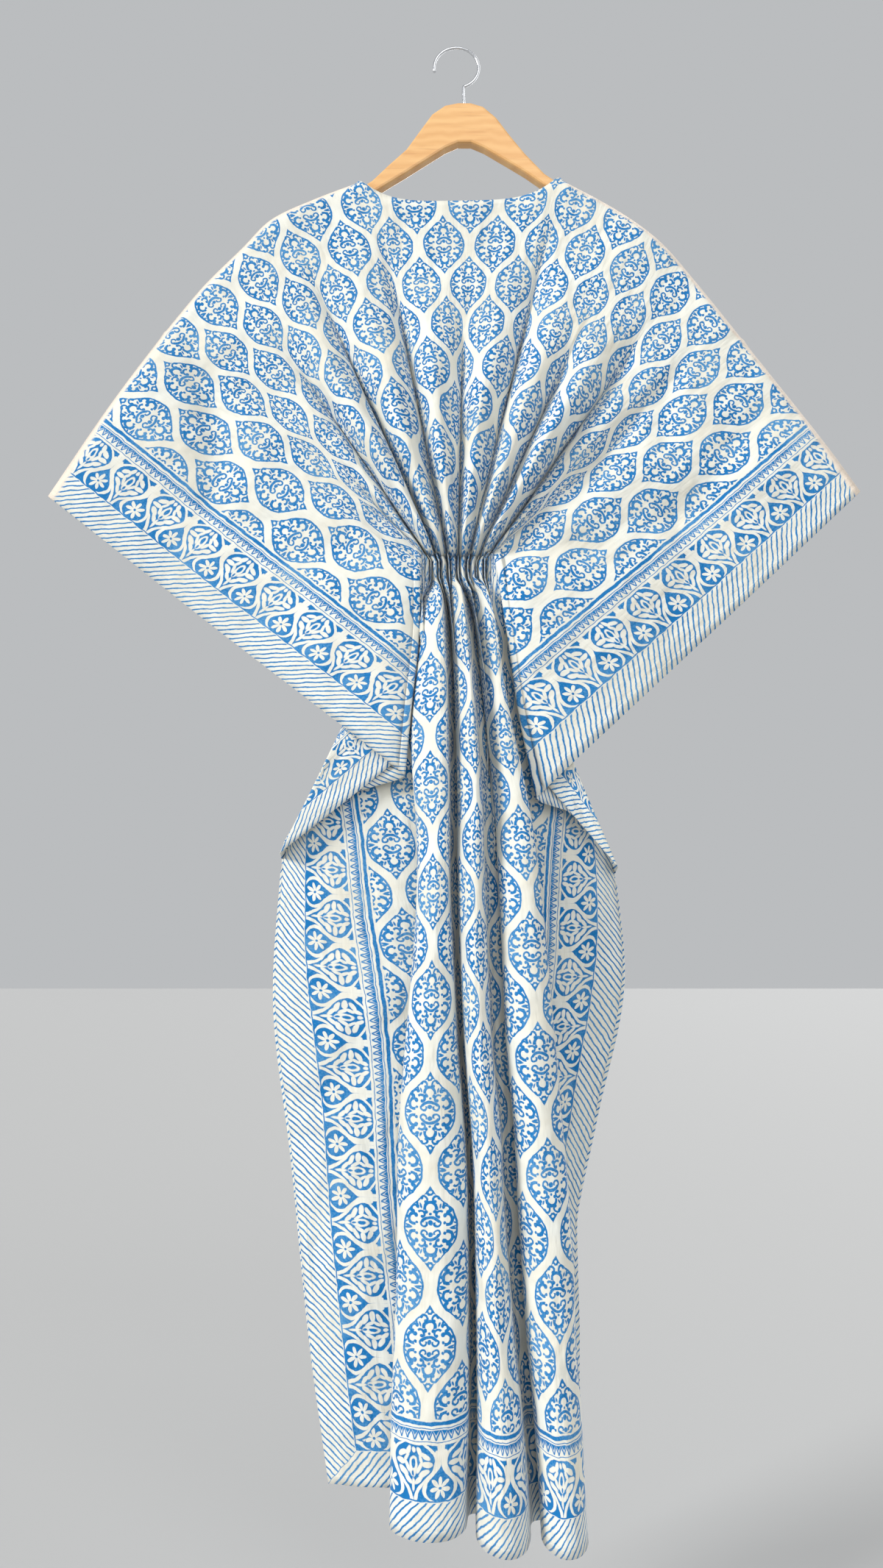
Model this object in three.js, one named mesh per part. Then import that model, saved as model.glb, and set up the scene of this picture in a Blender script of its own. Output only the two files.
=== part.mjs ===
// A block-printed cotton kaftan on a wooden hanger, seen from its back.
// The origin is where the hook rests, +Z is up, -Y is the side that is seen and +X is its right.
// Two panels, cut as flat pieces with sloping shoulders, hang in two folded layers.
// On a panel, "across" runs from its middle line and "down" from the level of the neck.
import * as THREE from 'three';

// The cut of both panels
const CLOTH = { halfWidth: 590, length: 1340, neckHalf: 106, shoulderDrop: 120 };
const NECK = { backDepth: 30, backCurve: 4, frontDepth: 200, frontCurve: 1.15 };
const WALL = 1.2;
const SEAM_GAP = 0.3;
const SEAM_Y = (WALL + SEAM_GAP) / 2;

// The drawn-in waist: how much of the width is gathered, how narrow it is and where it lies
const WAIST = { halfCloth: 380, halfWidth: 31.5, down: 437, height: 26, topZ: -588 };
const ARMHOLE_DOWN = 740;

// Beside the waist the front panel steps aside, where it comes round the back panel's fold
const CORNER = { at: 400, wide: 16 };

// How the layers lie: the body stands open from the seams, the wings sink from part of the way down
const BODY = { stand: 10.5, bulge: 3, reach: 9 };
const WINGS = { from: 0.35, foldBlend: 45, shortest: 24 };
const GATHERS = { edge: 12, from: 0.45, full: 0.97, growth: 1.5, fade: 0.35 };
const SOFT_FOLDS = { from: 10, full: 60, lostBelow: 0.5 };
const NEST = { back: -4, backUntil: 0.85, front: 1, frontMore: 2, frontFrom: 0.75 };
const SEWN_EDGE = 26;
const SWING_FROM = 430;

// The hanger
const BAR = { thick: 13, round: 2.5 };
const BAR_LINE = [
  { x: -191, top: -210, under: -217 },
  { x: -183, top: -204, under: -221 },
  { x: -154, top: -191, under: -211 },
  { x: -108, top: -177, under: -192 },
  { x: -88, top: -160, under: -176 },
  { x: -68, top: -139, under: -163 },
  { x: -50, top: -121, under: -151 },
  { x: -36, top: -97, under: -141 },
  { x: -21, top: -78, under: -131 },
  { x: -6, top: -71.5, under: -121 },
  { x: 9, top: -70, under: -117 },
  { x: 23, top: -72, under: -121 },
  { x: 38, top: -81, under: -130 },
  { x: 53, top: -102, under: -140 },
  { x: 69, top: -124, under: -150 },
  { x: 90, top: -150, under: -166 },
  { x: 114, top: -170, under: -184 },
  { x: 142, top: -184.5, under: -203 },
  { x: 175, top: -203, under: -222 },
  { x: 204, top: -226, under: -241 },
  { x: 212, top: -235, under: -242 },
];
const HOOK = { wire: 3.2, radius: 23, from: -1.25, to: 3.35 };
const STEM = { share: 0.26, end: -69.4, top: 1.85, lean: 8, slant: 0.6, bow: 2 };

// Shoulder lines, from the neck out: run along the edge, place across and height
const SHOULDER = {
  left: [
    { run: 0, x: -106, z: -163 },
    { run: 51, x: -154, z: -183 },
    { run: 103, x: -200, z: -207 },
    { run: 146, x: -229, z: -239 },
    { run: 218, x: -277, z: -293 },
    { run: 358, x: -357, z: -408 },
    { run: 484, x: -425, z: -521 },
  ],
  right: [
    { run: 0, x: 112, z: -159 },
    { run: 74, x: 175, z: -197 },
    { run: 127, x: 216, z: -230 },
    { run: 180, x: 249, z: -271 },
    { run: 317, x: 328, z: -382 },
    { run: 423, x: 389, z: -469 },
    { run: 484, x: 419, z: -516 },
  ],
};

// Outer fold below each end of the waist, where a wing turns back under itself
const FIRST_FOLD = {
  left: [
    { across: 380, x: -31.5, z: -588, down: 437 },
    { across: 422, x: -34, z: -622, down: 456 },
    { across: 470, x: -39, z: -682, down: 488 },
    { across: 530, x: -46, z: -750, down: 540 },
    { across: 590, x: -52, z: -820, down: 598 },
  ],
  right: [
    { across: 380, x: 31.5, z: -588, down: 437 },
    { across: 422, x: 37, z: -626, down: 456 },
    { across: 470, x: 50, z: -684, down: 488 },
    { across: 530, x: 60, z: -760, down: 540 },
    { across: 590, x: 76, z: -842, down: 598 },
  ],
};

// Inner fold, where the cloth turns again and hangs down to the hem
const SECOND_FOLD = {
  left: [
    { across: 380, x: -31.5, z: -614 },
    { across: 485, x: -108, z: -758 },
    { across: 590, x: -172, z: -897 },
  ],
  right: [
    { across: 380, x: 31.5, z: -614 },
    { across: 485, x: 96, z: -764 },
    { across: 590, x: 153, z: -911 },
  ],
};

// How far the outer edge of the skirt swings out of the straight line from armhole to hem
const SIDE_SWING = {
  left: [
    { part: 0, out: 0 },
    { part: 0.25, out: 19 },
    { part: 0.5, out: 13 },
    { part: 0.8, out: 8 },
    { part: 1, out: 0 },
  ],
  right: [
    { part: 0, out: 0 },
    { part: 0.2, out: 17 },
    { part: 0.42, out: 0 },
    { part: 0.62, out: -13 },
    { part: 1, out: 0 },
  ],
};

// The hem seen from above, from left to right: the folds of the back
const BACK_HEM = [
  { across: -590, x: -120, y: -2, z: -1473 },
  { across: -560, x: -93, y: -8, z: -1473 },
  { across: -500, x: -40, y: -12, z: -1472 },
  { across: -450, x: 4, y: -13, z: -1474 },
  { across: -425, x: 14, y: -15.5, z: -1476 },
  { across: -408, x: 12, y: -20, z: -1478 },
  { across: -350, x: -32, y: -26, z: -1484 },
  { across: -318, x: -56, y: -34, z: -1487 },
  { across: -304, x: -62, y: -44, z: -1489 },
  { across: -288, x: -56, y: -57, z: -1490 },
  { across: -262, x: -34, y: -67, z: -1492 },
  { across: -236, x: -10, y: -66, z: -1491 },
  { across: -220, x: 3, y: -57, z: -1488 },
  { across: -206, x: 6, y: -42, z: -1487 },
  { across: -190, x: 8, y: -27, z: -1488 },
  { across: -176, x: 17, y: -19.5, z: -1490 },
  { across: -155, x: 36, y: -18, z: -1492 },
  { across: -146, x: 39, y: -21, z: -1492 },
  { across: -134, x: 34, y: -25, z: -1493 },
  { across: -116, x: 18, y: -30, z: -1494 },
  { across: -102, x: 14, y: -42, z: -1496 },
  { across: -90, x: 16, y: -56, z: -1498 },
  { across: -76, x: 25, y: -68, z: -1501 },
  { across: -52, x: 42, y: -73, z: -1503 },
  { across: -30, x: 56, y: -66, z: -1500 },
  { across: -17, x: 61, y: -52, z: -1495 },
  { across: -2, x: 62, y: -37, z: -1492 },
  { across: 14, x: 68, y: -26, z: -1493 },
  { across: 34, x: 85, y: -22.5, z: -1495 },
  { across: 43, x: 89, y: -25.5, z: -1496 },
  { across: 54, x: 84, y: -29.5, z: -1497 },
  { across: 72, x: 73, y: -35, z: -1497 },
  { across: 84, x: 71, y: -46, z: -1498 },
  { across: 98, x: 75, y: -59, z: -1501 },
  { across: 118, x: 87, y: -70, z: -1504 },
  { across: 142, x: 102, y: -68, z: -1503 },
  { across: 158, x: 110, y: -57, z: -1499 },
  { across: 174, x: 111, y: -42, z: -1494 },
  { across: 192, x: 108, y: -25, z: -1490 },
  { across: 212, x: 96, y: -17.5, z: -1488 },
  { across: 260, x: 62, y: -15, z: -1486 },
  { across: 320, x: 35, y: -13.5, z: -1484 },
  { across: 345, x: 29, y: -10.5, z: -1484 },
  { across: 372, x: 35, y: -8, z: -1483 },
  { across: 440, x: 58, y: -7, z: -1482 },
  { across: 530, x: 84, y: -6, z: -1481 },
  { across: 590, x: 101, y: -2, z: -1481 },
];

// The same for the front panel, which lies flatter behind
const FRONT_HEM = [
  { across: -590, x: -120, y: 2, z: -1473 },
  { across: -530, x: -72, y: 9, z: -1474 },
  { across: -440, x: -8, y: 11, z: -1476 },
  { across: -420, x: 1, y: 13.5, z: -1478 },
  { across: -400, x: -8, y: 17, z: -1480 },
  { across: -322, x: -60, y: 20, z: -1484 },
  { across: -300, x: -69, y: 25, z: -1486 },
  { across: -278, x: -60, y: 31, z: -1487 },
  { across: -215, x: -22, y: 34, z: -1489 },
  { across: -184, x: -6, y: 28, z: -1488 },
  { across: -165, x: -1, y: 19, z: -1487 },
  { across: -142, x: 6, y: 27, z: -1489 },
  { across: -90, x: 30, y: 35, z: -1491 },
  { across: -42, x: 52, y: 31, z: -1490 },
  { across: -12, x: 60, y: 20, z: -1488 },
  { across: 18, x: 68, y: 30, z: -1490 },
  { across: 70, x: 88, y: 36, z: -1491 },
  { across: 118, x: 106, y: 31, z: -1490 },
  { across: 140, x: 110, y: 24, z: -1488 },
  { across: 165, x: 102, y: 18, z: -1487 },
  { across: 260, x: 52, y: 16, z: -1485 },
  { across: 325, x: 24, y: 14, z: -1484 },
  { across: 347, x: 17, y: 11.5, z: -1483 },
  { across: 372, x: 24, y: 9.5, z: -1483 },
  { across: 450, x: 52, y: 8.5, z: -1482 },
  { across: 530, x: 80, y: 7.5, z: -1482 },
  { across: 590, x: 101, y: 2, z: -1481 },
];

// Depth of each layer, from the wing, through the turned-back part, to the skirt
const BACK = {
  hem: BACK_HEM,
  side: -1,
  body: -17,
  wing: -38,
  turned: -20,
  skirt: -11,
  foldShift: 0,
  cornerShift: 0,
  pleats: 9,
  pleatDepth: 6.5,
  stepsPerPleat: 6,
  relief: 1,
};
const FRONT = {
  hem: FRONT_HEM,
  side: 1,
  body: 15,
  wing: -32,
  turned: -26,
  skirt: 10,
  foldShift: 5,
  cornerShift: 11,
  pleats: 6,
  pleatDepth: 6,
  stepsPerPleat: 5,
  relief: 0.3,
};

// Soft folds that fan out from the waist: start, end, width and depth towards the wall
const FAN_FOLDS = [
  { x0: -70, z0: -228, x1: -16, z1: -560, wide: 15, deep: 9 },
  { x0: -128, z0: -330, x1: -32, z1: -575, wide: 15, deep: 8 },
  { x0: -186, z0: -215, x1: -172, z1: -440, wide: 16, deep: 7 },
  { x0: -262, z0: -380, x1: -250, z1: -540, wide: 17, deep: 6 },
  { x0: -200, z0: -480, x1: -60, z1: -566, wide: 13, deep: 6 },
  { x0: 110, z0: -205, x1: 24, z1: -560, wide: 14, deep: 9 },
  { x0: 175, z0: -370, x1: 50, z1: -560, wide: 15, deep: 7 },
  { x0: 222, z0: -260, x1: 216, z1: -470, wide: 14, deep: 6 },
  { x0: 318, z0: -440, x1: 214, z1: -560, wide: 17, deep: 6 },
  { x0: -210, z0: -590, x1: -45, z1: -590, wide: 9, deep: 7 },
  { x0: 205, z0: -592, x1: 48, z1: -590, wide: 9, deep: 7 },
];

const COLOURS = { cotton: 0x9db8d8, cottonFront: 0x88a9d0, wood: 0xdcb47c, steel: 0xb8bcc2 };

const clamp = (value, low, high) => Math.min(Math.max(value, low), high);
const mix = (from, to, part) => from + (to - from) * part;
const ease = (low, high, value) => {
  const part = clamp((value - low) / (high - low), 0, 1);
  return part * part * (3 - 2 * part);
};

// A smooth value from a table: the slope at each row is the mean of its neighbours'
function read(table, key, column, at) {
  const last = table.length - 1;
  let row = 0;
  while (row < last - 1 && at > table[row + 1][key]) row += 1;
  const slope = (index) => {
    const before = table[Math.max(index - 1, 0)];
    const after = table[Math.min(index + 1, last)];
    return (after[column] - before[column]) / (after[key] - before[key]);
  };
  const [from, to] = [table[row], table[row + 1]];
  const span = to[key] - from[key];
  const part = clamp((at - from[key]) / span, 0, 1);
  const square = part * part;
  const cube = square * part;
  return (2 * cube - 3 * square + 1) * from[column] + (cube - 2 * square + part) * span * slope(row)
    + (3 * square - 2 * cube) * to[column] + (cube - square) * span * slope(row + 1);
}

const sideOf = (across) => (across < 0 ? 'left' : 'right');

// Where a warp thread starts: on the neckline or on the shoulder seam
function topPoint(across, layer) {
  const out = Math.abs(across);
  const shoulder = SHOULDER[sideOf(across)];
  if (out >= CLOTH.neckHalf) {
    const run = out - CLOTH.neckHalf;
    return {
      x: read(shoulder, 'run', 'x', run),
      z: read(shoulder, 'run', 'z', run),
      down: (CLOTH.shoulderDrop * run) / (CLOTH.halfWidth - CLOTH.neckHalf),
    };
  }
  const part = across / CLOTH.neckHalf;
  const x = mix(SHOULDER.left[0].x, SHOULDER.right[0].x, (part + 1) / 2);
  const level = mix(SHOULDER.left[0].z, SHOULDER.right[0].z, (part + 1) / 2);
  const scoop = NECK.backDepth * (1 - part ** NECK.backCurve);
  const vee = NECK.frontDepth * (1 - Math.abs(part) ** NECK.frontCurve);
  const depth = layer.side < 0 ? scoop : vee;
  return { x, z: level - depth, down: depth };
}

// How far a thread outside the gathers has come into the double fold, 0 to 1
const foldShare = (across) => ease(WAIST.halfCloth, WAIST.halfCloth + WINGS.foldBlend, Math.abs(across));

function firstFold(across, layer) {
  const out = Math.abs(across);
  const sign = Math.sign(across);
  if (out <= WAIST.halfCloth) {
    return { x: (WAIST.halfWidth * across) / WAIST.halfCloth, z: WAIST.topZ, down: WAIST.down };
  }
  const corner = layer.cornerShift * Math.exp(-(((out - CORNER.at) / CORNER.wide) ** 2));
  const shift = (layer.foldShift * foldShare(across) + corner) * sign;
  const line = FIRST_FOLD[sideOf(across)];
  return {
    x: read(line, 'across', 'x', out) + shift,
    z: read(line, 'across', 'z', out),
    down: read(line, 'across', 'down', out),
  };
}

function secondFold(across, layer) {
  const out = Math.abs(across);
  const top = WAIST.down + WAIST.height;
  if (out <= WAIST.halfCloth) {
    return { x: (WAIST.halfWidth * across) / WAIST.halfCloth, z: WAIST.topZ - WAIST.height, down: top };
  }
  const part = (out - WAIST.halfCloth) / (CLOTH.halfWidth - WAIST.halfCloth);
  const inner = NEST.back * foldShare(across) * (1 - ease(NEST.backUntil, 1, part));
  const outer = NEST.front + NEST.frontMore * ease(NEST.frontFrom, 1, part);
  const shift = (layer.side < 0 ? inner : outer) * Math.sign(across);
  const line = SECOND_FOLD[sideOf(across)];
  return {
    x: read(line, 'across', 'x', out) + shift,
    z: read(line, 'across', 'z', out),
    down: mix(top, ARMHOLE_DOWN, part),
  };
}

function hemPoint(across, layer) {
  return {
    x: read(layer.hem, 'across', 'x', across),
    y: read(layer.hem, 'across', 'y', across),
    z: read(layer.hem, 'across', 'z', across),
    down: CLOTH.length,
  };
}

// Depth of the soft folds at a place on the upper part
function relief(x, z) {
  let depth = 0;
  for (const fold of FAN_FOLDS) {
    const [dx, dz] = [fold.x1 - fold.x0, fold.z1 - fold.z0];
    const long = Math.hypot(dx, dz);
    const along = ((x - fold.x0) * dx + (z - fold.z0) * dz) / long;
    const away = Math.abs((x - fold.x0) * dz - (z - fold.z0) * dx) / long;
    const ends = ease(-0.1 * long, 0.3 * long, along) * (1 - ease(0.85 * long, 1.1 * long, along));
    depth += fold.deep * ends * Math.exp(-((away / fold.wide) ** 2));
  }
  return depth;
}

// Rows of the panel: the part of the way from one station of a thread to the next
const UPPER_ROWS = [0, 0.016, 0.045, 0.11, 0.2, 0.3, 0.41, 0.52, 0.63, 0.74, 0.84, 0.92];
const SKIRT_ROWS = [0.07, 0.14, 0.22, 0.32, 0.42, 0.52, 0.63, 0.75, 0.87, 1];
const FOLD_ROWS = [-7, -2, 0, 2, 7];
const FOLD_TURN = [0, 0.16, 0.5, 0.84, 1];
// How far the side edges are drawn together, row by row, where the armhole ends
const SEWN_TURN = [0, 0, 0.5, 1, 1];

const between = (from, to, part) => ({
  x: mix(from.x, to.x, part),
  z: mix(from.z, to.z, part),
  down: mix(from.down, to.down, part),
});

// The rows where a thread turns over a fold line
function foldRows(before, fold, after, yBefore, yAfter) {
  return FOLD_ROWS.map((reach, index) => {
    const towards = reach < 0 ? before : after;
    const long = Math.hypot(towards.x - fold.x, towards.z - fold.z);
    const place = between(fold, towards, Math.abs(reach) / Math.max(long, WINGS.shortest));
    return { ...place, y: mix(yBefore, yAfter, FOLD_TURN[index]) };
  });
}

// How far a thread stands out in the gathers of the waist
function pleatAt(across, layer) {
  const { halfCloth } = WAIST;
  const turns = (layer.pleats * (across + halfCloth)) / (2 * halfCloth);
  const inside = 1 - ease(halfCloth - GATHERS.edge, halfCloth + GATHERS.edge, Math.abs(across));
  return layer.side * layer.pleatDepth * -Math.cos(2 * Math.PI * turns) * inside;
}

// The rows of a thread from its top edge to the waist or the first fold
function upperRows(across, layer, top, first, wing, pleat) {
  const open = Math.abs(across) < CLOTH.neckHalf ? BODY.stand : SEAM_Y;
  return UPPER_ROWS.map((part) => {
    const place = between(top, first, part);
    const level = Math.hypot(place.x - top.x, place.z - top.z);
    const apart = mix(open, BODY.stand + BODY.bulge * Math.sin(Math.PI * part), ease(0, BODY.reach, level));
    const low = ease(WINGS.from, 1, part);
    const gathered = pleat * ease(GATHERS.from, GATHERS.full, part) ** GATHERS.growth;
    const shown = layer.relief * ease(SOFT_FOLDS.from, SOFT_FOLDS.full, level) * (1 - SOFT_FOLDS.lostBelow * low);
    return { ...place, y: mix(layer.side * apart, wing, low) + gathered + relief(place.x, place.z) * shown };
  });
}

// The rows of a thread from the second fold to the hem
function skirtRows(across, layer, second, skirt, pleat, sewn) {
  const hem = hemPoint(across, layer);
  const outer = ease(SWING_FROM, CLOTH.halfWidth, Math.abs(across)) * Math.sign(across);
  return SKIRT_ROWS.map((part) => {
    const place = between(second, hem, part);
    const swing = read(SIDE_SWING[sideOf(across)], 'part', 'out', part);
    const tight = pleat * (1 - ease(0, GATHERS.fade, part));
    return { ...place, x: place.x + swing * outer, y: sewn(mix(skirt, hem.y, part) + tight, 1) };
  });
}

// One warp thread of a panel, from its top edge to the hem
function thread(across, layer) {
  const top = topPoint(across, layer);
  const first = firstFold(across, layer);
  const second = secondFold(across, layer);
  const pleat = pleatAt(across, layer);
  const share = foldShare(across);
  const [wing, turned, skirt] = [layer.wing, layer.turned, layer.skirt].map((y) => mix(layer.body, y, share));
  const edge = ease(CLOTH.halfWidth - SEWN_EDGE, CLOTH.halfWidth, Math.abs(across));
  const sewn = (y, part) => mix(y, layer.side * SEAM_Y, edge * part);
  const lower = foldRows(first, second, hemPoint(across, layer), turned + pleat, skirt + pleat);
  return [
    ...upperRows(across, layer, top, first, wing, pleat),
    ...foldRows(top, first, second, wing + pleat, turned + pleat),
    ...lower.map((row, index) => ({ ...row, y: sewn(row.y, SEWN_TURN[index]) })),
    ...skirtRows(across, layer, second, skirt, pleat, sewn),
  ];
}

// The threads of a panel that are drawn: close together in the gathers, wider outside
function columns(layer) {
  const outer = [590, 578, 560, 530, 498, 468, 443, 424, 408, 394];
  const steps = layer.pleats * layer.stepsPerPleat;
  const inner = Array.from({ length: steps + 1 }, (_, index) => mix(-WAIST.halfCloth, WAIST.halfCloth, index / steps));
  return [...outer.map((across) => -across), ...inner, ...outer.toReversed()];
}

// A closed wall of even thickness round a grid of points
function wall(grid, thick) {
  const [across, along] = [grid.length, grid[0].length];
  const at = (i, j) => grid[clamp(i, 0, across - 1)][clamp(j, 0, along - 1)];
  const positions = [];
  const [right, downward, normal] = [new THREE.Vector3(), new THREE.Vector3(), new THREE.Vector3()];
  for (const face of [-0.5, 0.5]) {
    for (let i = 0; i < across; i += 1) {
      for (let j = 0; j < along; j += 1) {
        right.subVectors(at(i + 1, j), at(i - 1, j)).normalize();
        downward.subVectors(at(i, j + 1), at(i, j - 1)).normalize();
        normal.crossVectors(right, downward).normalize();
        const point = at(i, j).clone().addScaledVector(normal, face * thick);
        positions.push(point.x, point.y, point.z);
      }
    }
  }
  const index = [];
  const quad = (a, b, c, d) => index.push(a, b, c, a, c, d);
  const id = (face, i, j) => face * across * along + i * along + j;
  for (let i = 0; i < across - 1; i += 1) {
    for (let j = 0; j < along - 1; j += 1) {
      quad(id(0, i, j), id(0, i, j + 1), id(0, i + 1, j + 1), id(0, i + 1, j));
      quad(id(1, i, j), id(1, i + 1, j), id(1, i + 1, j + 1), id(1, i, j + 1));
    }
    quad(id(0, i, 0), id(0, i + 1, 0), id(1, i + 1, 0), id(1, i, 0));
    quad(id(1, i, along - 1), id(1, i + 1, along - 1), id(0, i + 1, along - 1), id(0, i, along - 1));
  }
  for (let j = 0; j < along - 1; j += 1) {
    quad(id(1, 0, j), id(1, 0, j + 1), id(0, 0, j + 1), id(0, 0, j));
    quad(id(0, across - 1, j), id(0, across - 1, j + 1), id(1, across - 1, j + 1), id(1, across - 1, j));
  }
  return closed(positions, index);
}

// A geometry from points and faces, turned inside out if its volume is negative
function closed(positions, index) {
  let volume = 0;
  const [a, b, c] = [new THREE.Vector3(), new THREE.Vector3(), new THREE.Vector3()];
  for (let i = 0; i < index.length; i += 3) {
    a.fromArray(positions, index[i] * 3);
    b.fromArray(positions, index[i + 1] * 3);
    c.fromArray(positions, index[i + 2] * 3);
    volume += a.dot(b.cross(c));
  }
  const faces = volume > 0 ? index : index.toReversed();
  const geometry = new THREE.BufferGeometry();
  geometry.setAttribute('position', new THREE.Float32BufferAttribute(positions, 3));
  geometry.setIndex(faces);
  geometry.computeVertexNormals();
  return geometry;
}

function named(name, geometry, colour, roughness = 0.85, metalness = 0) {
  const mesh = new THREE.Mesh(geometry, new THREE.MeshStandardMaterial({ color: colour, roughness, metalness }));
  mesh.name = name;
  return mesh;
}

function panel(name, layer, colour) {
  const grid = columns(layer).map((across) =>
    thread(across, layer).map((row) => new THREE.Vector3(row.x, row.y, row.z)));
  return named(name, wall(grid, WALL), colour);
}

// The wooden bar: flat sides and rounded long edges
function hangerBar() {
  const upper = BAR_LINE.map(({ x, top }) => new THREE.Vector2(x, top));
  const under = BAR_LINE.map(({ x, under: low }) => new THREE.Vector2(x, low)).toReversed();
  const shape = new THREE.Shape();
  shape.moveTo(upper[0].x, upper[0].y);
  shape.splineThru(upper.slice(1));
  shape.lineTo(under[0].x, under[0].y);
  shape.splineThru(under.slice(1));
  const geometry = new THREE.ExtrudeGeometry(shape, {
    depth: BAR.thick - 2 * BAR.round,
    bevelThickness: BAR.round,
    bevelSize: BAR.round,
    bevelOffset: -BAR.round,
    bevelSegments: 2,
    curveSegments: 1,
  });
  geometry.rotateX(Math.PI / 2);
  geometry.translate(0, BAR.thick / 2 - BAR.round, 0);
  return named('hanger_bar', geometry, COLOURS.wood, 0.5);
}

// The wire hook: a round stem, then most of a circle whose inner top is the origin
class HookCurve extends THREE.Curve {
  getPoint(part, target = new THREE.Vector3()) {
    const middle = HOOK.radius + HOOK.wire / 2;
    if (part < STEM.share) {
      const rise = part / STEM.share;
      const x = STEM.lean + (1 - rise) * (STEM.slant - STEM.bow * rise);
      return target.set(x, 0, mix(STEM.end, -middle * STEM.top, rise));
    }
    const turn = (part - STEM.share) / (1 - STEM.share);
    const angle = mix(HOOK.from, HOOK.to, turn);
    return target.set(Math.cos(angle) * middle, 0, Math.sin(angle) * middle - HOOK.radius);
  }
}

function hangerHook() {
  const section = new THREE.Shape();
  section.absarc(0, 0, HOOK.wire / 2, 0, 2 * Math.PI);
  const geometry = new THREE.ExtrudeGeometry(section, { extrudePath: new HookCurve(), steps: 38, curveSegments: 5 });
  return named('hanger_hook', geometry, COLOURS.steel, 0.25, 1);
}

const kaftan = new THREE.Group();
kaftan.add(
  panel('back_panel', BACK, COLOURS.cotton),
  panel('front_panel', FRONT, COLOURS.cottonFront),
  hangerBar(),
  hangerHook(),
);

export default kaftan;
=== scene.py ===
# %% [markdown]
# # A block-printed kaftan on a wooden hanger
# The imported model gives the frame: two cloth panels, the wooden bar and the wire hook, all in metres.
# Here the two panels are draped again in finer folds, and every piece gets its finish.

# %% The frame
import math

import bmesh
import bpy
import numpy as np
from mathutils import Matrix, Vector


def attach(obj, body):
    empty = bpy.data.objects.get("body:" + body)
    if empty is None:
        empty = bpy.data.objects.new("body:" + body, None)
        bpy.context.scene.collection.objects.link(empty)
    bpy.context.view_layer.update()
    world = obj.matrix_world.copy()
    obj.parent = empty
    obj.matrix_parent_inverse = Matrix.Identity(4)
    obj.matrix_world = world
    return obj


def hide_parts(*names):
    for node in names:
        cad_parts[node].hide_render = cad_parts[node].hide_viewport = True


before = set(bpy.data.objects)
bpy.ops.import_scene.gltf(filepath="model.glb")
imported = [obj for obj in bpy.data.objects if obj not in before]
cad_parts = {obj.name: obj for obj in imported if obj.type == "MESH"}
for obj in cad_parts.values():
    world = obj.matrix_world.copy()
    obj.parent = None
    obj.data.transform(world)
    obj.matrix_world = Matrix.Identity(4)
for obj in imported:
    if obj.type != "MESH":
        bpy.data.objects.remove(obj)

SCENE = bpy.context.scene
MM = 0.001
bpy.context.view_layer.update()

# %% [markdown]
# ## Reading shapes from short tables
# A fold line or a hem is known at a few places only. Each table has named columns, and a smooth curve
# through its rows gives every value between them, as a tailor's curve does between chalk marks.

# %% Tables and curves
def table(names, rows):
    """Columns by name, from rows of numbers."""
    return dict(zip(names.split(), np.array(rows, float).T))


def mix(start, end, part):
    return start + (end - start) * part


def ease(low, high, value):
    """0 below low, 1 above high, and a smooth step between."""
    part = np.clip((value - low) / (high - low), 0, 1)
    return part * part * (3 - 2 * part)


def read(rows, key, column, at):
    """A column's value on the smooth curve through the rows."""
    keys, values = rows[key], rows[column]
    last = len(keys) - 1
    after, before = np.minimum(np.arange(last + 1) + 1, last), np.maximum(np.arange(last + 1) - 1, 0)
    slopes = (values[after] - values[before]) / (keys[after] - keys[before])
    row = np.clip(np.searchsorted(keys, at) - 1, 0, last - 1)
    span = keys[row + 1] - keys[row]
    part = np.clip((at - keys[row]) / span, 0, 1)
    square, cube = part**2, part**3
    return ((2 * cube - 3 * square + 1) * values[row] + (cube - 2 * square + part) * span * slopes[row]
            + (3 * square - 2 * cube) * values[row + 1] + (cube - square) * span * slopes[row + 1])


def read_side(sides, key, column, at, across):
    """The same, from the left side's table or the right side's."""
    left, right = (read(sides[name], key, column, at) for name in ("left", "right"))
    return np.where(across < 0, left, right)

# %% [markdown]
# ## The cut and the way it hangs
# Both panels are cut flat: 1180 mm wide and 1340 mm long, with sloping shoulders. "Across" runs from the
# middle of a panel and "down" from the level of the neck. Every warp thread starts at the shoulder or
# the neck, runs to the drawn-in waist or to the fold beside it, turns under, turns again, and hangs.

# %% The cut
HALF_WIDTH, LENGTH, NECK_HALF, SHOULDER_DROP = 590, 1340, 106, 120
BACK_SCOOP, SCOOP_POWER, FRONT_VEE, VEE_POWER = 30, 4, 200, 1.15
GATHERED, WAIST_HALF, WAIST_DOWN, WAIST_HEIGHT, WAIST_Z = 380, 37, 437, 26, -588
ARMHOLE = 740
WAIST_DRAWN, DRAWN_POWER = 9, 4
SEAM_Y = 0.75

SHOULDER = {
    "left": table("run x z", [(0, -106, -163), (51, -154, -183), (103, -200, -207), (146, -229, -239),
                              (218, -277, -293), (358, -357, -408), (484, -425, -521)]),
    "right": table("run x z", [(0, 112, -159), (74, 175, -197), (127, 216, -230), (180, 249, -271),
                               (317, 328, -382), (423, 389, -469), (484, 419, -516)]),
}
FIRST_FOLD = {
    "left": table("out x z down", [(380, -37, -588, 437), (422, -38, -622, 456), (470, -39, -682, 488),
                                   (530, -46, -750, 540), (590, -52, -820, 598)]),
    "right": table("out x z down", [(380, 37, -588, 437), (422, 42, -626, 456), (470, 50, -684, 488),
                                    (530, 60, -760, 540), (590, 76, -842, 598)]),
}
SECOND_FOLD = {
    "left": table("out x z", [(380, -37, -614), (485, -108, -758), (590, -172, -897)]),
    "right": table("out x z", [(380, 37, -614), (485, 96, -764), (590, 153, -911)]),
}
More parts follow.
